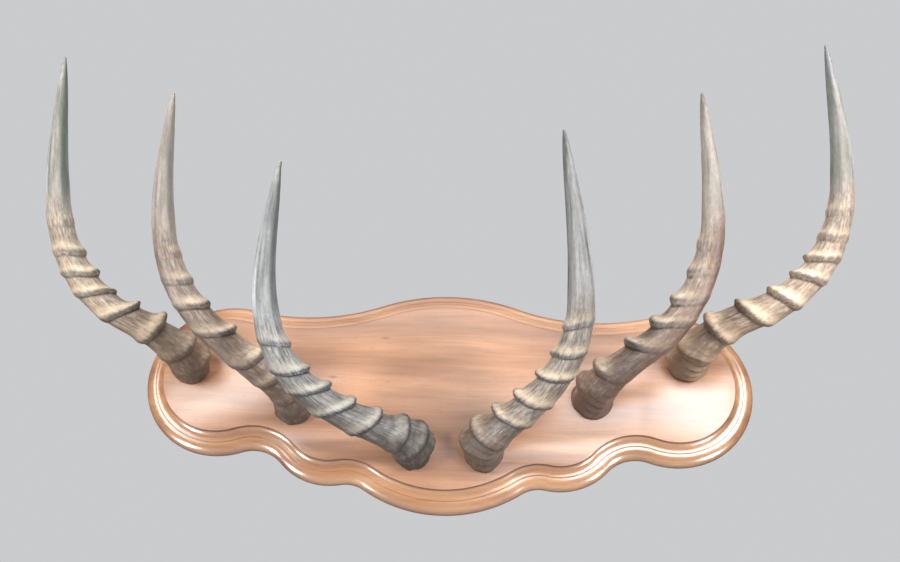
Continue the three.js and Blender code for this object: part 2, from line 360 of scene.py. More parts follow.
def horn_rows(horn):
    """Distances of the rows from the base, close together at each ridge's steep side and crest."""
    spans = ring_spans(horn)
    rise = horn["rise"]
    marks = [np.arange(0, spans[0][0] - rise, FOOT_SPACING)]
    for ring, following, _ in spans:
        marks.append(ring - rise * np.cos(np.linspace(0, math.pi / 2, 10)))
        lip_end = ring + min(LIP, 0.5 * (following - rise - ring))
        marks.append(np.linspace(ring, lip_end, 11))
        behind = following - rise - lip_end
        marks.append(np.linspace(lip_end, following - rise, max(3, round(behind / VALLEY_SPACING))))
    end = horn["length"]
    start = marks[-1][-1]
    marks.append(np.linspace(start, end - TIP_ZONE, round((end - TIP_ZONE - start) / SMOOTH_SPACING)))
    marks.append(np.linspace(end - TIP_ZONE, end - horn["tip"], 8))
    marks.append(end - horn["tip"] * (1 - np.sin(np.linspace(0, math.pi / 2, 6))))
    return np.unique(np.round(np.concatenate(marks), 4))


def ridge_shape(horn, rows):
    """For each row: the ridge's height on the hollow side, and masks of its parts."""
    height = np.zeros(len(rows))
    masks = {label: np.zeros(len(rows)) for label in ("crest", "lip_shade", "shoulder", "undercut")}
    rise = horn["rise"]
    for ring, following, full in ring_spans(horn):
        spacing = following - ring
        x = rows - ring
        width = 1.8 + 0.12 * spacing
        level = 1 / (1 + (0.85 * spacing / width) ** 2)
        beyond = np.maximum(x - CREST_WIDTH, 0)
        falling = np.clip((1 / (1 + (beyond / width) ** 2) - level) / (1 - level), 0, 1)
        rising = np.clip(1 - (x / rise) ** 2, 0, 1)
        here = (x >= -rise) & (rows < following - rise)
        height = np.where(here, full * np.where(x < 0, rising, falling), height)
        strength = min(1.0, full / MARKED_HEIGHT)
        nearing = ease((x + rise + 7.0) / 7.0)
        # Masks of the ridge: the lip, whose dark edge is partly painted shade; the painted shade under the
        # lip; the pale band behind it, partly a painted highlight; and how far the lip overhangs.
        parts = {
            "crest": ease((x + 0.6 * rise) / (0.3 * rise)) * ease((2.2 - x) / 1.8),
            "lip_shade": ease((x + rise + 2.5) / 2.5) * ease((-0.4 * rise - x) / (0.35 * rise)),
            "shoulder": ease((x - 1.5) / 4.0) * ease((0.5 * spacing - x) / (0.35 * spacing)),
            "undercut": nearing * ease((-0.15 * rise - x) / (0.7 * rise)) * full / MARKED_HEIGHT,
        }
        for label, mask in parts.items():
            masks[label] = np.maximum(masks[label], mask * strength)
    return height, masks


class HornGrid:
    """One horn's rows and columns, its core and its ridges at them, and smooth noise over them.

    Arrays have a row for each distance from the base and a column for each angle round the horn,
    which starts on the hollow side of the bend. Those that are the same all along or all round
    have one row or one column."""

    def __init__(self, horn, seed):
        self.horn = horn
        self.draw = np.random.default_rng(seed)
        self.rows = horn_rows(horn)
        self.down = self.rows[:, None]
        around = np.arange(SIDES_AROUND) / SIDES_AROUND
        self.angle = 2 * math.pi * around[None, :]
        # 1 on the hollow side and -1 on the outer side, then 0 and 1.
        self.to_hollow = np.cos(self.angle)
        self.to_outer = (1 - self.to_hollow) / 2
        self.turn, self.share = np.meshgrid(around, self.rows / horn["length"])
        self.marks = np.array([0] + [ring[0] for ring in horn["rings"]] + [horn["length"]], float)
        self.spans = len(self.marks) - 1
        ring_share = self.count_rings(self.rows) / self.spans
        self.by_ring = np.repeat(ring_share[:, None], SIDES_AROUND, axis=1)
        # 1 along the ridges and 0 where the horn is smooth.
        past_rings = self.down - self.marks[-2] - FADING_START
        self.ribbed = 1 - ease(past_rings / FADING_LENGTH)
        height, masks = ridge_shape(horn, self.rows)
        self.height = height[:, None]
        self.masks = {label: mask[:, None] for label, mask in masks.items()}
        # The crowded first ridges fade sooner than the others.
        fade = horn["fade"] + EXTRA_FADE * np.exp(-(self.down / HEEL_LENGTH) ** 2)
        self.hollow_share = ((1 + self.to_hollow) / 2) ** fade
        self.core = self.core_radius()

    def count_rings(self, rows):
        """How many ridges lie between the base and these distances, with parts of one."""
        return np.interp(rows, self.marks, np.arange(self.spans + 1))

    def core_radius(self):
        """The horn's radius without its ridges, down to its rounded tip."""
        horn = self.horn
        neck = 1 - horn["neck"] * np.exp(-(self.down / NECK_LENGTH) ** 2)
        core = horn["radius"] * smooth_at(TAPER, self.down / horn["length"]) * neck
        ending = np.clip((self.down - horn["length"] + horn["tip"]) / horn["tip"], 0, 1)
        return np.maximum(core, horn["tip"]) * np.sqrt(1 - ending ** 2)

    def noise(self, around, along):
        """Noise with this many cells round the horn and along it."""
        return ring_noise(self.draw, self.turn, around, self.share, along)

    def noise_by_ring(self, around):
        """Noise with this many cells round the horn and one from each ridge to the next."""
        return ring_noise(self.draw, self.turn, around, self.by_ring, self.spans)


def ridge_relief(grid):
    """How far the ridges and the heel stand out, and the share of a ridge's height at each point."""
    horn = grid.horn
    left_over = horn["outer"] * ease(grid.down / HEEL_LENGTH)
    prominence = left_over + (1 - left_over) * grid.hollow_share
    prominence = prominence * (1 + 0.25 * grid.noise_by_ring(6))
    ridge = grid.height * prominence
    saddle = SADDLE_DEPTH * ease((grid.down - SADDLE_START) / SADDLE_GROWTH) * grid.ribbed
    heel = horn["heel"] * np.exp(-(grid.down / HEEL_LENGTH) ** 4)
    heel = heel * ease((grid.down - HEEL_START) / HEEL_GROWTH)
    return ridge + (heel - saddle) * grid.hollow_share, prominence


def worn_relief(grid, prominence):
    """Lengthwise striations, lumps, and the ragged crests."""
    rough = grid.horn["rough"]
    striation = 0.6 * grid.noise(66, 34) + 0.4 * grid.noise(33, 22)
    lumps = grid.noise(9, 40)
    ragged = grid.noise_by_ring(44)
    thickness = np.minimum(grid.core / 12, 1)
    relief = thickness ** 3 * striation * (0.06 + grid.ribbed * (0.10 + 0.16 * rough))
    relief = relief + thickness * lumps * (0.12 + grid.ribbed * (0.15 + 0.35 * rough))
    on_crest = grid.masks["crest"] * np.minimum(prominence * 2, 1)
    return relief + 0.5 * rough * ragged * on_crest * grid.ribbed


def broken_layers(grid):
    """Layers broken off like steps on the outer side of the base."""
    drift = 0.25 * grid.noise(9, 12)
    layer = np.mod(grid.down / LAYER_LENGTH + drift, 1.0)
    step = ease(layer / 0.1) * (1 - layer)
    torn = grid.horn["torn"] * np.exp(-(grid.down / TORN_LENGTH) ** 2)
    return torn * step * grid.to_outer ** 1.5


def ring_wobble(grid):
    """How far each point of a ridge lies off its even ring, along the horn."""
    wobble = 1.4 * grid.noise_by_ring(7)
    wobble = wobble + 0.6 * grid.noise_by_ring(19) * grid.horn["rough"]
    return wobble * grid.ribbed * ease(grid.down / 12)


def foot_rim(grid):
    """The foot spreads a little on the board, with a torn rim."""
    unevenness = 0.4 + 1.1 * grid.horn["rough"]
    return np.exp(-grid.down / FOOT_LENGTH) * (0.3 + grid.noise(21, 4) * unevenness)


def skin_points(grid, reach, wobble):
    """The skin's points, at their reach from the horn's middle line and leaning with its ridges."""
    horn = grid.horn
    place, along, hollow, across = (
        np.column_stack([np.interp(grid.rows, np.arange(len(line)), line[:, k]) for k in range(3)])
        for line in horn_path(horn))
    lean_knots = [(0, horn["rings"][0][2])] + [(ring[0], ring[2]) for ring in horn["rings"]]
    lean_knots += [(LEAN_END * horn["length"], 0), (horn["length"], 0)]
    lean = np.tan(np.radians(smooth_at(lean_knots, grid.down)))
    undercut = grid.masks["undercut"] * grid.hollow_share * 0.4
    shift = wobble + undercut - lean * grid.core * grid.to_hollow
    points = (place[:, None, :]
              + hollow[:, None, :] * (reach * grid.to_hollow)[:, :, None]
              + across[:, None, :] * (reach * np.sin(grid.angle))[:, :, None]
              + along[:, None, :] * shift[:, :, None])
    # No row dips into the board, and the base is flat.
    lift = SEAT_LEVEL - np.minimum(grid.down * 0.16, 1.0)
    points[:, :, 1] = np.minimum(points[:, :, 1], lift)
    points[0, :, 1] = SEAT_LEVEL
    points[-1] = place[-1]
    return points


def pattern_flow(grid, wobble):
    """Where each point lies in the colour pattern, which follows the ridges and breaks at each."""
    ridge_count = np.floor(grid.count_rings(grid.rows + grid.horn["rise"]))
    ridge_count = ridge_count * (grid.rows < grid.marks[-2] + 1)
    jump = PATTERN_JUMP * np.maximum.accumulate(ridge_count)[:, None]
    return np.stack([
        grid.core * np.cos(grid.angle),
        grid.core * np.sin(grid.angle),
        grid.down + jump + wobble], axis=-1)


def make_horn(name, horn, seed):
    grid = HornGrid(horn, seed)
    section = 1 + 0.018 * np.cos(2 * grid.angle + 0.6) + 0.014 * np.cos(3 * grid.angle - 0.8)
    relief, prominence = ridge_relief(grid)
    reach = grid.core * section + relief
    reach = reach + worn_relief(grid, prominence)
    reach = reach + broken_layers(grid)
    wobble = ring_wobble(grid)
    reach = reach + foot_rim(grid)
    raised = np.clip(prominence * 1.7, 0, 1) * grid.ribbed
    even = np.ones_like(grid.turn)
    piece = wrapped_skin("ridged_horn_" + name, skin_points(grid, reach, wobble) * MM, {
        "share": grid.share,
        "ribbed": grid.ribbed * even,
        "outer_side": grid.to_outer * even,
        # The ridge marks: the lip, its dark edge partly painted shade; painted shade under it; and a pale
        # band behind it, partly a painted highlight.
        "crest": grid.masks["crest"] * raised,
        "shoulder": grid.masks["shoulder"] * raised,
        "lip_shade": grid.masks["lip_shade"] * np.clip(prominence * 1.4 + 0.25, 0, 1) * grid.ribbed,
        "flow": pattern_flow(grid, wobble) * MM,
    })
    close_ends(piece, (SEAT_LEVEL * MM,))
    bpy.ops.object.shade_smooth()
    return piece


# ---- node helpers --------------------------------------------------------------------------

def colour(red, green, blue):
    """A colour for a socket, from its display values of 0 to 255."""
    def linear(value):
        value = value / 255
        return value / 12.92 if value <= 0.04045 else ((value + 0.055) / 1.055) ** 2.4
    return (linear(red), linear(green), linear(blue), 1.0)


class Tree:
    """A node tree with short ways to add nodes. An input is a plain value or another node's output."""

    def __init__(self, tree):
        self.tree = tree

    def feed(self, socket, value):
        if isinstance(value, bpy.types.NodeSocket):
            self.tree.links.new(value, socket)
        else:
            socket.default_value = value

    def node(self, kind, inputs=None, **settings):
        node = self.tree.nodes.new("ShaderNode" + kind)
        for key, value in settings.items():
            setattr(node, key, value)
        for key, value in (inputs or {}).items():
            self.feed(node.inputs[key], value)
        return node

    def value(self, name):
        return self.node("Attribute", attribute_name=name).outputs["Fac"]

    def math(self, operation, first, second=0.0, third=0.0):
        node = self.node("Math", {0: first, 1: second, 2: third}, operation=operation)
        return node.outputs[0]

    def spread(self, value, low, high, to_low=0.0, to_high=1.0):
        inputs = {"Value": value, "From Min": low, "From Max": high, "To Min": to_low, "To Max": to_high}
        return self.node("MapRange", inputs).outputs["Result"]

    def mix(self, share, first, second, blend="MIX"):
        node = self.node("Mix", data_type="RGBA", blend_type=blend)
        self.feed(node.inputs["Factor"], share)
        self.feed(node.inputs[6], first)
        self.feed(node.inputs[7], second)
        return node.outputs[2]

    def noise(self, vector, scale, detail=2.0, roughness=0.5, distortion=0.0):
        inputs = {"Vector": vector, "Scale": scale, "Detail": detail, "Roughness": roughness,
                  "Distortion": distortion}
        return self.node("TexNoise", inputs).outputs["Fac"]

    def laid_over(self, below, tone, *shares):
        """The colour below with a tone over it, as strong as the product of the shares."""
        strength = shares[0]
        for share in shares[1:]:
            strength = self.math("MULTIPLY", strength, share)
        return self.mix(strength, below, colour(*tone))

    def vector_math(self, operation, first, second):
        return self.node("VectorMath", {0: first, 1: second}, operation=operation).outputs[0]

    def stretched(self, vector, x, y, z):
        return self.vector_math("MULTIPLY", vector, (x, y, z))

    def group(self, group, inputs):
        node = self.node("Group")
        node.node_tree = group
        for key, value in inputs.items():
            self.feed(node.inputs[key], value)
        return node.outputs


def new_group(name, inputs, outputs):
    """An empty node group: its tree, its input sockets by name, and its output node."""
    group = bpy.data.node_groups.new(name, "ShaderNodeTree")
    kinds = {"value": "NodeSocketFloat", "colour": "NodeSocketColor", "vector": "NodeSocketVector"}
    for label, kind in inputs:
        group.interface.new_socket(label, in_out="INPUT", socket_type=kinds[kind])
    for label, kind in outputs:
        group.interface.new_socket(label, in_out="OUTPUT", socket_type=kinds[kind])
    start = group.nodes.new("NodeGroupInput")
    end = group.nodes.new("NodeGroupOutput")
    return group, Tree(group), start.outputs, end.inputs


def new_material(name):
    material = bpy.data.materials.new(name)
    material.use_nodes = True
    tree = Tree(material.node_tree)
    shader = material.node_tree.nodes["Principled BSDF"]
    return material, tree, shader


# ---- effects used by several finishes ------------------------------------------------------

def length_streaks():
    """Streaks that run along a horn, shorter in its ribbed part. All run from 0 to 1."""
    group, tree, given, result = new_group(
        "length_streaks",
        [("Flow", "vector"), ("Stretch", "value")],
        [("Bands", "value"), ("Broad", "value"), ("Fine", "value"), ("Hair", "value"),
         ("Height", "value")])
    squeezed = tree.node("CombineXYZ", {"X": 1.0, "Y": 1.0, "Z": given["Stretch"]}).outputs[0]
    line = tree.vector_math("MULTIPLY", given["Flow"], squeezed)
    bands = tree.noise(tree.stretched(given["Flow"], 1.0, 1.0, 0.03), 62.0, 2.0, 0.5)
    broad = tree.noise(line, 120.0, 3.0, 0.6, 0.3)
    fine = tree.noise(line, 420.0, 3.0, 0.7, 0.15)
    hair = tree.noise(line, 1300.0, 2.0, 0.6)
    tree.feed(result["Bands"], tree.spread(bands, 0.36, 0.64))
    tree.feed(result["Broad"], tree.spread(broad, 0.34, 0.64))
    tree.feed(result["Fine"], tree.spread(fine, 0.38, 0.62))
    tree.feed(result["Hair"], tree.spread(hair, 0.38, 0.62))
    tree.feed(result["Height"], tree.math("MULTIPLY_ADD", hair, 0.45, tree.math("MULTIPLY", fine, 0.8)))
    return group


def ring_wear_and_shade():
    """Ridge marks on a horn: dark rolls, rubbed glossier and partly painted shade at the lip's edge; pale
    shoulders behind them, partly a painted highlight; and painted shade in the gaps under them.
    """
    group, tree, given, result = new_group(
        "ring_wear_and_shade",
        [("Colour", "colour"), ("Crest", "value"), ("Shoulder", "value"), ("Lip Shade", "value"),
         ("Flow", "vector"), ("Crest Colour", "colour"), ("Shoulder Colour", "colour"),
         ("Lip Shade Colour", "colour")],
        [("Colour", "colour"), ("Lip Wear And Shade", "value")])
    # Pale shoulders behind each lip: partly the horn's paler tone, partly a painted highlight on the slope
    # that faces the light.
    patches = tree.spread(tree.noise(given["Flow"], 190.0, 3.0, 0.6), 0.32, 0.6, 0.3, 1.0)
    behind = tree.math("MULTIPLY", given["Shoulder"], patches)
    paler = tree.mix(behind, given["Colour"], given["Shoulder Colour"])
    # The lip's dark tone is partly its own grey and partly painted shade at its edge. The same share makes
    # it glossier.
    uneven = tree.spread(tree.noise(given["Flow"], 330.0, 2.0, 0.55), 0.36, 0.55, 0.45, 1.0)
    lip_wear_and_shade = tree.math("MULTIPLY", given["Crest"], uneven)
    rolled = tree.mix(lip_wear_and_shade, paler, given["Crest Colour"])
    # Painted shade in the gap under each lip, broken up by noise.
    broken = tree.spread(tree.noise(given["Flow"], 260.0, 2.0, 0.5), 0.35, 0.6, 0.35, 1.0)
    dark = tree.math("MULTIPLY", given["Lip Shade"], broken)
    tree.feed(result["Colour"], tree.mix(dark, rolled, given["Lip Shade Colour"]))
    tree.feed(result["Lip Wear And Shade"], lip_wear_and_shade)
    return group


def base_darkening():
    """Darker patches, thicker where Reach is high."""
    group, tree, given, result = new_group(
        "base_darkening",
        [("Colour", "colour"), ("Vector", "vector"), ("Reach", "value"), ("Dark Tone", "colour")],
        [("Colour", "colour"), ("Amount", "value")])
    patches = tree.noise(given["Vector"], 75.0, 5.0, 0.62)
    thick = tree.math("MULTIPLY_ADD", given["Reach"], 0.28, patches)
    amount = tree.math("MULTIPLY", tree.spread(thick, 0.52, 0.78), given["Reach"])
    tree.feed(result["Colour"], tree.mix(amount, given["Colour"], given["Dark Tone"]))
    tree.feed(result["Amount"], amount)
    return group


def walnut_grain():
    """Grain along X. Figure is the broad banding, Lines the fine lines and Pores the open pores."""
    group, tree, given, result = new_group(
        "walnut_grain",
        [("Vector", "vector")],
        [("Figure", "value"), ("Lines", "value"), ("Pores", "value")])
    bend = tree.noise(tree.stretched(given["Vector"], 2.2, 9.0, 9.0), 1.0, 2.0, 0.5)
    raised = tree.math("MULTIPLY", bend, 0.055)
    bent = tree.node("CombineXYZ", {"X": 0.0, "Y": 0.0, "Z": raised}).outputs[0]
    moved = tree.vector_math("ADD", given["Vector"], bent)
    figure = tree.noise(tree.stretched(moved, 3.0, 30.0, 30.0), 1.0, 3.0, 0.55)
    lines = tree.noise(tree.stretched(moved, 9.0, 420.0, 420.0), 1.0, 3.0, 0.6)
    pores = tree.noise(tree.stretched(moved, 90.0, 1700.0, 1700.0), 1.0, 1.0, 0.5)
    tree.feed(result["Figure"], tree.spread(figure, 0.32, 0.68))
    tree.feed(result["Lines"], tree.spread(lines, 0.3, 0.7))
    tree.feed(result["Pores"], tree.spread(pores, 0.62, 0.72))
    return group


STREAKS = length_streaks()
RING_WEAR_AND_SHADE = ring_wear_and_shade()
BASE_DARKENING = base_darkening()
GRAIN = walnut_grain()
LONG_STRETCH = 0.02     # of the streaks where a horn is smooth
LACQUER_IOR = 1.9


# ---- finishes ------------------------------------------------------------------------------

def length_ramp(tree, share, stops):
    """The horn's plain colour from its base to its tip."""
    ramp = tree.node("ValToRGB", {"Fac": share})
    elements = ramp.color_ramp.elements
    elements[0].position = stops[0][0]
    elements[0].color = colour(*stops[0][1])
    elements[1].position = stops[-1][0]
    elements[1].color = colour(*stops[-1][1])
    for place, tone in stops[1:-1]:
        elements.new(place).color = colour(*tone)
    return ramp.outputs["Color"]


def horn_tones(tree, look, flow, share, ribbed, short, long, fine):
    """The horn's bands, patches, streaks and speckles, with painted shade on its hollow side, without the
    ridge marks (wear, painted shade and a partly painted highlight) and the darkening towards the base.
    """
    toned = length_ramp(tree, share, look["along"])
    # Bands, blotches and patches are strong where the horn is smooth, mottling where it is ribbed.
    banded = tree.spread(ribbed, 0.0, 1.0, look["bands"], 0.15)
    toned = tree.laid_over(toned, look["dark_band"], tree.spread(long["Bands"], 0.5, 0.0), banded)
    toned = tree.laid_over(toned, look["pale_band"], tree.spread(long["Bands"], 0.5, 1.0), banded)
    bare = tree.spread(ribbed, 0.0, 1.0, 1.0, 0.1)
    blotch = tree.spread(tree.noise(tree.stretched(flow, 1.0, 1.0, 0.3), 75.0, 5.0, 0.7), 0.44, 0.6)
    toned = tree.laid_over(toned, look["dark_band"], blotch, bare, look["blotch"])
    patch = tree.spread(tree.noise(tree.stretched(flow, 1.0, 1.0, 0.22), 48.0, 5.0, 0.7), 0.5, 0.64)
    toned = tree.laid_over(toned, look["patch_tone"], patch, bare, look["patch"])
    mottle = tree.spread(tree.noise(flow, 85.0, 4.0, 0.65), 0.4, 0.62)
    toned = tree.laid_over(toned, look["mottle_tone"], mottle, ribbed, look["mottle"])
    # Pale and dark streaks run along it.
    broad = tree.spread(ribbed, 0.0, 1.0, long["Broad"], short["Broad"])
    toned = tree.laid_over(toned, look["pale_streak"], broad, look["pale"])
    strength = tree.spread(ribbed, 0.0, 1.0, look["dark"] * 0.35, look["dark"])
    lines = tree.spread(fine, 0.0, 1.0, 1.0, 0.0)
    toned = tree.laid_over(toned, look["dark_streak"], lines, strength)
    hairs = tree.spread(short["Hair"], 0.0, 1.0, 0.3, 0.0)
    toned = tree.laid_over(toned, look["dark_streak"], hairs, ribbed)
    # The hollow side gets painted shade, strongest where the horn is smooth, and the outer side has its own
    # tone.
    outer_side = tree.value("outer_side")
    hollow_shade_share = tree.spread(outer_side, 0.25, 0.62, look["hollow_shade"], 0.0)
    toned = tree.laid_over(toned, look["dark_band"], hollow_shade_share, tree.spread(ribbed, 0.0, 1.0, 1.0, 0.25))
    under = tree.spread(outer_side, 0.55, 0.95, 0.0, look["under"])
    toned = tree.laid_over(toned, look["under_tone"], under, ribbed)
    speckle = tree.noise(tree.stretched(flow, 1.0, 1.0, 0.5), 330.0, 6.0, 0.75)
    speckle = tree.spread(speckle, 0.36, 0.62, 0.62, 1.1)
    return tree.mix(tree.spread(ribbed, 0.0, 1.0, 0.5, 0.9), toned, speckle, "MULTIPLY")


def horn_finish(name, look):
    material, tree, shader = new_material(name)
    flow = tree.node("Attribute", attribute_name="flow").outputs["Vector"]
    share = tree.value("share")
    ribbed = tree.value("ribbed")
    short = tree.group(STREAKS, {"Flow": flow, "Stretch": look["stretch"]})
    long = tree.group(STREAKS, {"Flow": flow, "Stretch": LONG_STRETCH})
    fine = tree.spread(ribbed, 0.0, 1.0, long["Fine"], short["Fine"])
    toned = horn_tones(tree, look, flow, share, ribbed, short, long, fine)
    # The shoulders' pale band, partly a painted highlight, is weaker near the base.
    shoulder = tree.math("MULTIPLY", tree.value("shoulder"), tree.spread(share, 0.05, 0.35, 0.3, 1.0))
    wear_and_shade = tree.group(RING_WEAR_AND_SHADE, {
        "Colour": toned, "Crest": tree.value("crest"), "Shoulder": shoulder,
        "Lip Shade": tree.value("lip_shade"), "Flow": flow, "Crest Colour": colour(*look["crest"]),
        "Shoulder Colour": colour(*look["shoulder"]), "Lip Shade Colour": colour(*look["lip_shade"])})
    # The horn grows darker and rougher in patches towards its base.
    low = tree.spread(share, 0.0, look["dark_base_end"], 1.0, 0.0)
    darkened = tree.group(BASE_DARKENING, {
        "Colour": wear_and_shade["Colour"], "Vector": flow, "Reach": low, "Dark Tone": colour(*look["base_dark_tone"])})
    tree.feed(shader.inputs["Base Color"], darkened["Colour"])
    sheen = tree.spread(ribbed, 0.0, 1.0, look["tip_roughness"], look["roughness"])
    sheen = tree.math("MULTIPLY_ADD", fine, 0.14, sheen)
    sheen = tree.math("MULTIPLY_ADD", darkened["Amount"], 0.14, sheen)
    sheen = tree.math("MULTIPLY_ADD", wear_and_shade["Lip Wear And Shade"], -0.16, sheen)
    tree.feed(shader.inputs["Roughness"], sheen)
    height = tree.spread(ribbed, 0.0, 1.0, long["Height"], short["Height"])
    height = tree.math("MULTIPLY", height, tree.spread(share, 0.5, 0.68, 1.0, 0.4))
    pits = tree.noise(flow, 900.0, 2.0, 0.6)
    height = tree.math("MULTIPLY_ADD", pits, 0.25, height)
    # The tips are worn smoother.
    height = tree.math("MULTIPLY", height, tree.spread(share, 0.6, 0.9, 1.0, 0.1))
    bump = tree.node("Bump", {"Strength": look["bump"], "Distance": 0.0008, "Height": height})
    tree.feed(shader.inputs["Normal"], bump.outputs["Normal"])
    return material


# Tones are display values of 0 to 255. along has the horn's plain tone at shares of its length.
# Among these tones, the one under the lips and the one on the hollow side are painted shade, crest is
# partly painted shade and shoulder partly a painted highlight.
INNER_LEFT_LOOK = dict(
    along=((0.0, (64, 51, 42)), (0.1, (74, 61, 51)), (0.25, (118, 108, 99)), (0.45, (161, 159, 155)),
           (0.62, (210, 211, 215)), (0.85, (166, 170, 172)), (0.945, (126, 130, 126)),
           (0.955, (226, 218, 192)), (1.0, (242, 236, 216))),
    pale_streak=(210, 210, 210), pale=0.5, dark_streak=(54, 51, 50), dark=0.75, stretch=0.1,
    pale_band=(214, 219, 230), dark_band=(66, 73, 69), bands=0.85, hollow_shade=0.75,
    blotch=0.5, patch=0.25, patch_tone=(206, 207, 208), mottle=0.4, mottle_tone=(168, 152, 128),
    under=0.4, under_tone=(86, 76, 66), crest=(48, 52, 62), shoulder=(178, 170, 155), lip_shade=(36, 37, 42),
    base_dark_tone=(50, 37, 28), dark_base_end=0.3, roughness=0.38, tip_roughness=0.44, bump=0.9)
INNER_RIGHT_LOOK = dict(
    INNER_LEFT_LOOK,
    along=((0.0, (130, 106, 90)), (0.12, (144, 122, 102)), (0.26, (190, 166, 140)), (0.45, (196, 182, 164)),
           (0.62, (162, 159, 158)), (0.85, (112, 113, 113)), (0.945, (120, 121, 117)),
           (0.955, (130, 130, 126)), (1.0, (134, 134, 128))),
    mottle=0.5, mottle_tone=(210, 174, 138), shoulder=(216, 196, 166), base_dark_tone=(88, 67, 52), hollow_shade=0.5,
    dark_streak=(74, 66, 60), crest=(62, 64, 72), lip_shade=(50, 48, 51), patch_tone=(200, 184, 184))
MIDDLE_LEFT_LOOK = dict(
    along=((0.0, (106, 83, 68)), (0.16, (124, 104, 87)), (0.34, (160, 140, 119)), (0.5, (144, 131, 119)),
           (0.66, (150, 142, 136)), (0.88, (138, 133, 126)), (1.0, (120, 119, 108))),
    pale_streak=(216, 205, 194), pale=0.42, dark_streak=(82, 66, 56), dark=0.55, stretch=0.1,
    pale_band=(190, 186, 192), dark_band=(92, 88, 82), bands=0.6, hollow_shade=0.35,
    blotch=0.4, patch=0.6, patch_tone=(202, 184, 156), mottle=0.5, mottle_tone=(204, 164, 134),
    under=0.45, under_tone=(98, 74, 60), crest=(86, 87, 80), shoulder=(212, 192, 166), lip_shade=(54, 49, 45),
    base_dark_tone=(78, 60, 50), dark_base_end=0.36, roughness=0.38, tip_roughness=0.48, bump=0.6)
MIDDLE_RIGHT_LOOK = dict(
    MIDDLE_LEFT_LOOK,
    along=((0.0, (134, 109, 95)), (0.16, (128, 106, 93)), (0.34, (152, 131, 114)), (0.5, (194, 174, 156)),
           (0.66, (170, 161, 152)), (0.88, (152, 148, 140)), (1.0, (122, 122, 110))),
    dark=0.45, under=0.75, under_tone=(106, 72, 56), hollow_shade=0.25, base_dark_tone=(92, 70, 60),
    patch_tone=(200, 182, 172), crest=(100, 98, 92))
OUTER_LEFT_LOOK = dict(
    along=((0.0, (146, 117, 89)), (0.16, (172, 147, 119)), (0.3, (194, 170, 143)), (0.42, (202, 183, 158)),
           (0.52, (192, 182, 163)), (0.62, (172, 170, 162)), (0.84, (132, 142, 143)), (1.0, (90, 98, 88))),
    pale_streak=(222, 212, 197), pale=0.45, dark_streak=(74, 60, 48), dark=0.65, stretch=0.13,
    pale_band=(204, 211, 224), dark_band=(60, 74, 64), bands=0.8, hollow_shade=0.7,
    blotch=0.5, patch=0.4, patch_tone=(188, 192, 204), mottle=0.5, mottle_tone=(206, 166, 134),
    under=0.25, under_tone=(124, 97, 72), crest=(84, 85, 74), shoulder=(216, 194, 164), lip_shade=(88, 76, 62),
    base_dark_tone=(98, 75, 55), dark_base_end=0.34, roughness=0.46, tip_roughness=0.46, bump=1.1)
OUTER_RIGHT_LOOK = dict(
    OUTER_LEFT_LOOK,
    along=((0.0, (190, 163, 137)), (0.16, (206, 178, 148)), (0.3, (220, 191, 162)), (0.42, (246, 222, 196)),
           (0.52, (228, 208, 186)), (0.62, (198, 190, 184)), (0.84, (168, 172, 177)), (1.0, (98, 105, 98))),
    mottle_tone=(218, 172, 140), shoulder=(236, 210, 180), crest=(106, 98, 86), base_dark_tone=(140, 113, 88),
    hollow_shade=0.5, lip_shade=(106, 87, 70), dark_streak=(92, 70, 54), patch_tone=(184, 180, 206),
    pale_band=(206, 207, 224))

# Painted shade: the crease at the moulding's step, and the top of the cove along the face's edge.
SHADE_LINE_LEVELS = ((14.95, 15.7), (21.0, 23.97))     # the moulding's dark lines, in mm off the wall
KNOTS = ((-79.7 * MM, 75.5 * MM), (-141 * MM, 20.7 * MM))
KNOT_TONE = (96, 62, 44)
FACE_FINISH = 1
BACK_FINISH = 2
SHADE_LINE_FINISH = 3


def wood_finish(name, light, dark, streak, roughness, coat, coat_roughness, line_depth):
    material, tree, shader = new_material(name)
    place = tree.node("TexCoord").outputs["Object"]
    grain = tree.group(GRAIN, {"Vector": place})
    tone = tree.mix(grain["Figure"], colour(*light), colour(*dark))
    tone = tree.laid_over(tone, streak, tree.spread(grain["Lines"], 0.0, 1.0, 0.0, 0.26))
    tone = tree.laid_over(tone, streak, grain["Pores"], 0.35)
    for x, z in KNOTS:
        apart = tree.vector_math("SUBTRACT", place, (x, -BOARD_THICKNESS, z))
        long_way = tree.stretched(apart, 0.3, 0.2, 1.0)
        distance = tree.node("VectorMath", {0: long_way}, operation="LENGTH").outputs["Value"]
        rough_edge = tree.math("MULTIPLY_ADD", tree.noise(place, 300.0), 0.0016, distance)
        tone = tree.laid_over(tone, KNOT_TONE, tree.spread(rough_edge, 0.0012, 0.0032, 0.75, 0.0))
    tree.feed(shader.inputs["Base Color"], tone)
    tree.feed(shader.inputs["Roughness"], tree.math("MULTIPLY_ADD", grain["Lines"], 0.08, roughness))
    shader.inputs["Coat Weight"].default_value = coat
    shader.inputs["Coat Roughness"].default_value = coat_roughness
    shader.inputs["Coat IOR"].default_value = LACQUER_IOR
    height = tree.math("MULTIPLY_ADD", grain["Pores"], -0.8, tree.math("MULTIPLY", grain["Lines"], 0.3))
    bump = tree.node("Bump", {"Strength": line_depth, "Distance": 0.0003, "Height": height})
    tree.feed(shader.inputs["Normal"], bump.outputs["Normal"])
    return material


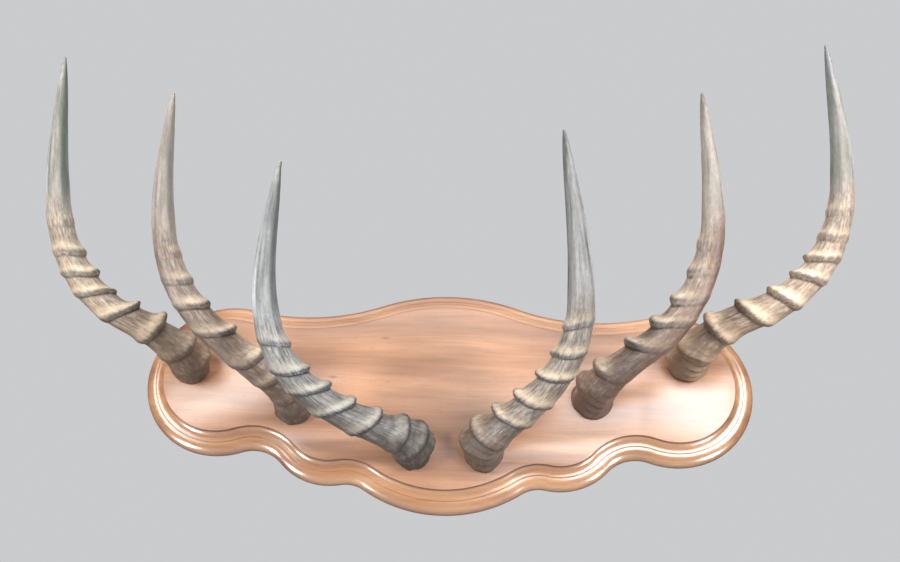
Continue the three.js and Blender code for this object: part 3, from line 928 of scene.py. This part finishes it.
def finish_board(board):
    materials = [
        wood_finish("walnut_moulding", (190, 142, 100), (140, 93, 62), (108, 66, 44), 0.4, 0.9, 0.19, 0.12),
        wood_finish("walnut_face", (192, 142, 107), (122, 81, 55), (100, 64, 44), 0.5, 0.9, 0.3, 0.2),
        wood_finish("walnut_back", (196, 154, 122), (172, 130, 100), (130, 92, 68), 0.6, 0.0, 0.3, 0.8),
        wood_finish("painted_shade_lines", (134, 84, 58), (112, 68, 46), (88, 52, 38), 0.4, 0.5, 0.3, 0.12),
    ]
    for material in materials:
        board.data.materials.append(material)
    for face in board.data.polygons:
        if face.normal.y < -0.999 and face.center.y < -BOARD_THICKNESS + 1e-5:
            face.material_index = FACE_FINISH
        elif face.normal.y > 0.999:
            face.material_index = BACK_FINISH
        # The moulding's crease and the top of its cove get the painted shade lines.
        elif any(-high * MM < face.center.y < -low * MM for low, high in SHADE_LINE_LEVELS):
            face.material_index = SHADE_LINE_FINISH


# ---- the plaque ----------------------------------------------------------------------------

wall_board = make_board()
finish_board(wall_board)
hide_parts("board")
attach(wall_board, "root")

FINISHES = {
    "inner_left": horn_finish("horn_blue_grey", INNER_LEFT_LOOK),
    "inner_right": horn_finish("horn_cream_grey", INNER_RIGHT_LOOK),
    "middle_left": horn_finish("horn_mauve_grey", MIDDLE_LEFT_LOOK),
    "middle_right": horn_finish("horn_beige_brown", MIDDLE_RIGHT_LOOK),
    "outer_left": horn_finish("horn_tan_brown", OUTER_LEFT_LOOK),
    "outer_right": horn_finish("horn_pale_tan", OUTER_RIGHT_LOOK),
}
for seed, (name, horn) in enumerate(HORNS.items(), start=11):
    piece = make_horn(name, horn, seed)
    piece.data.materials.append(FINISHES[name])
    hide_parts("horn_" + name)
    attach(piece, "root")


# ---- studio --------------------------------------------------------------------------------

FLOOR_LEVEL = -1.5


def add_floor():
    bpy.ops.object.select_all(action="DESELECT")
    bpy.ops.mesh.primitive_plane_add(size=16.0, location=(0.0, 0.0, FLOOR_LEVEL))
    floor = bpy.context.active_object
    floor.name = "studio_floor"
    material, tree, shader = new_material("pale_floor")
    shader.inputs["Base Color"].default_value = (0.72, 0.72, 0.71, 1.0)
    shader.inputs["Roughness"].default_value = 0.85
    floor.data.materials.append(material)


def add_softbox(name, place, target, size, power, glare=True, fill=True):
    """A softbox aimed at the target. glare is whether glossy surfaces mirror it, fill whether it
    lights dull ones."""
    data = bpy.data.lights.new(name, "AREA")
    data.shape = "RECTANGLE"
    data.size, data.size_y = size
    data.energy = power
    lamp = bpy.data.objects.new(name, data)
    lamp.location = place
    lamp.visible_diffuse = fill
    lamp.visible_glossy = glare
    lamp.rotation_euler = (Vector(target) - Vector(place)).to_track_quat("-Z", "Y").to_euler()
    bpy.context.scene.collection.objects.link(lamp)


def add_world():
    """Pale to the camera, and a weaker even light on the plaque, so that the softboxes shape it."""
    world = bpy.data.worlds.new("pale_surround")
    bpy.context.scene.world = world
    world.use_nodes = True
    tree = Tree(world.node_tree)
    background = world.node_tree.nodes["Background"]
    background.inputs["Color"].default_value = (0.9, 0.91, 0.93, 1.0)
    seen = tree.node("LightPath").outputs["Is Camera Ray"]
    tree.feed(background.inputs["Strength"], tree.spread(seen, 0.0, 1.0, 0.12, 0.66))


add_floor()
add_world()
add_softbox("glare_left", (-1.32, -1.75, 0.42), (-0.3, 0.0, 0.0), (0.6, 1.1), 16.0, fill=False)
add_softbox("glare_right", (0.95, -1.75, 0.42), (0.2, 0.0, 0.0), (1.4, 1.2), 52.0, fill=False)
add_softbox("glare_top", (0.0, -0.87, 1.84), (0.0, -0.1, 0.2), (2.0, 1.4), 12.0, fill=False)
add_softbox("softbox_back", (0.7, 1.8, 0.7), (0.0, 0.0, 0.05), (1.0, 1.0), 26.0, glare=False)
add_softbox("glint_left", (-1.1, -0.5, -0.8), (-0.2, 0.0, -0.05), (0.5, 0.35), 16.0, fill=False)
add_softbox("glint_right", (1.1, -0.5, -0.8), (0.2, 0.0, -0.05), (0.5, 0.35), 16.0, fill=False)
add_softbox("softbox_left", (-1.2, -1.4, 0.0), (-0.05, 0.0, 0.05), (0.6, 0.6), 34.0, glare=False)
add_softbox("softbox_right", (1.2, -1.4, 0.0), (0.05, 0.0, 0.05), (0.6, 0.6), 37.0, glare=False)
add_softbox("softbox_top", (0.0, -0.8, 1.7), (0.0, -0.1, 0.2), (1.2, 0.8), 28.0, glare=False)
bpy.context.scene.view_settings.view_transform = "Standard"
